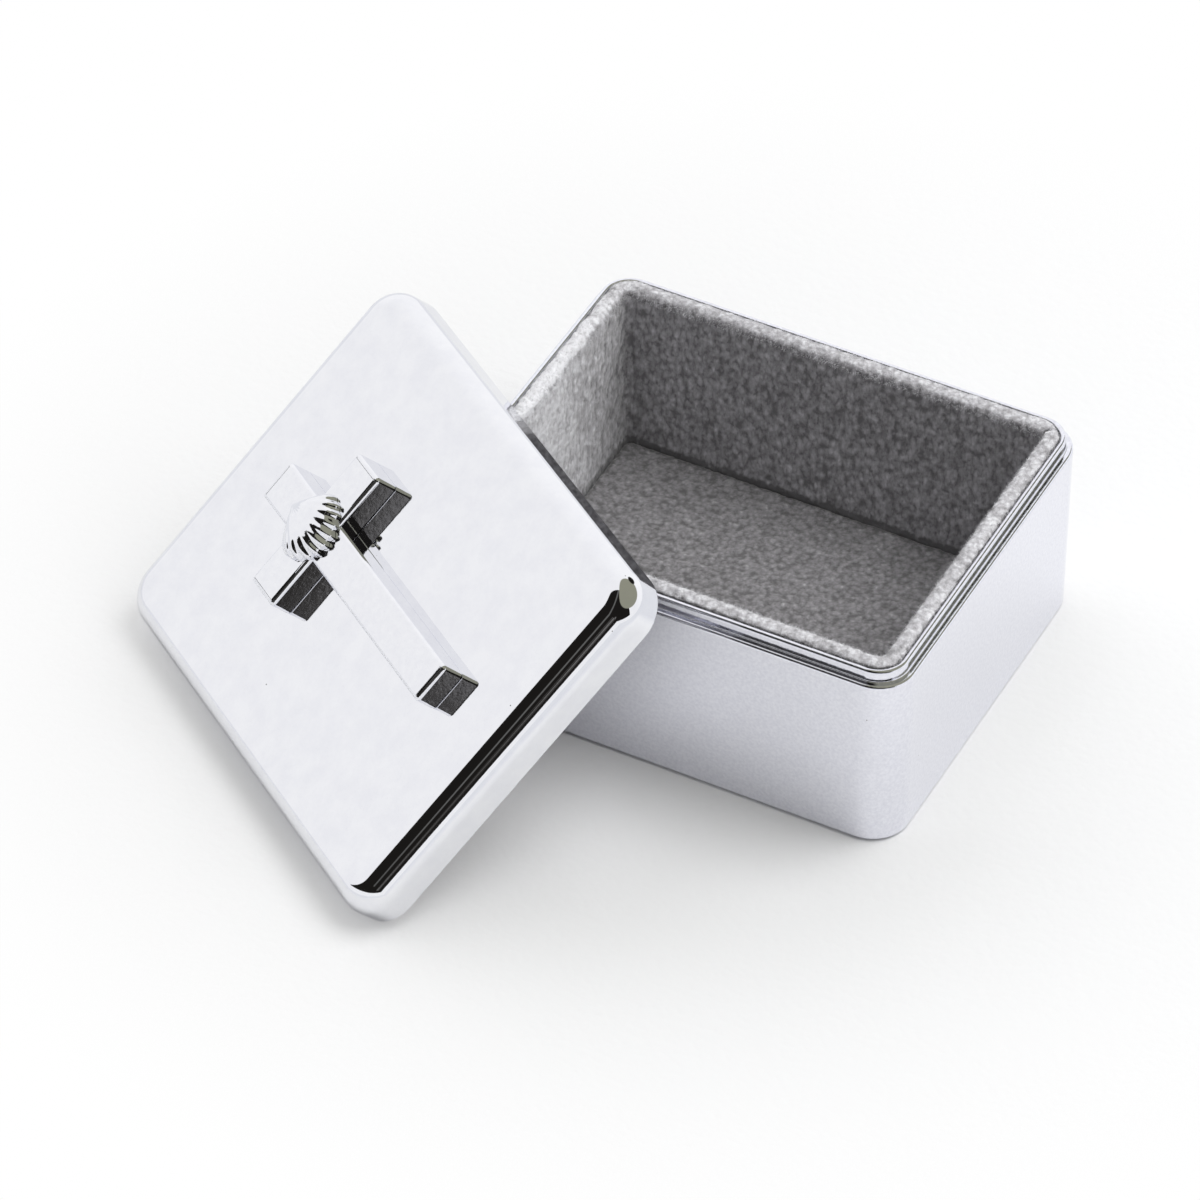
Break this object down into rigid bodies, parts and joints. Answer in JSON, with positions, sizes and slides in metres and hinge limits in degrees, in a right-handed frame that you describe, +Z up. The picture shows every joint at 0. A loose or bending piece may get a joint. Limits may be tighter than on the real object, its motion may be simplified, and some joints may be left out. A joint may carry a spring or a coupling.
{
  "type": "baptism keepsake box",
  "caption": "Small plated keepsake box, velvet-lined, with a lift-off lid that bears a cross with a scallop shell; the lid leans on the open box.",
  "frame": {"origin": "the middle of the face that the box stands on", "axes": "+X along the box's longer side, +Y along its shorter side and away from the leaning lid's foot, +Z up"},
  "size_m": [0.0924, 0.0874, 0.0369],
  "materials": {
    "silver_plate": "mirror-polished silver plate",
    "grey_velvet": "short grey pile",
    "lining_card": "dense card, out of sight",
    "base_felt": "thin dark felt"
  },
  "bodies": {
    "box": {"box_shell": "silver_plate", "wall_lining_card": "lining_card", "wall_lining_velvet": "grey_velvet", "floor_pad_card": "lining_card", "floor_pad_velvet": "grey_velvet", "base_felt": "base_felt"},
    "lid": {"lid_shell": "silver_plate", "lid_pad_card": "lining_card", "lid_pad_velvet": "grey_velvet", "cross": "silver_plate", "scallop_shell": "silver_plate"}
  },
  "joints": [
    {"name": "lid_lift", "type": "slide", "parent": "box", "child": "lid", "axis": [0, 0, 1], "range_m": [0, 0.04]}
  ]
}
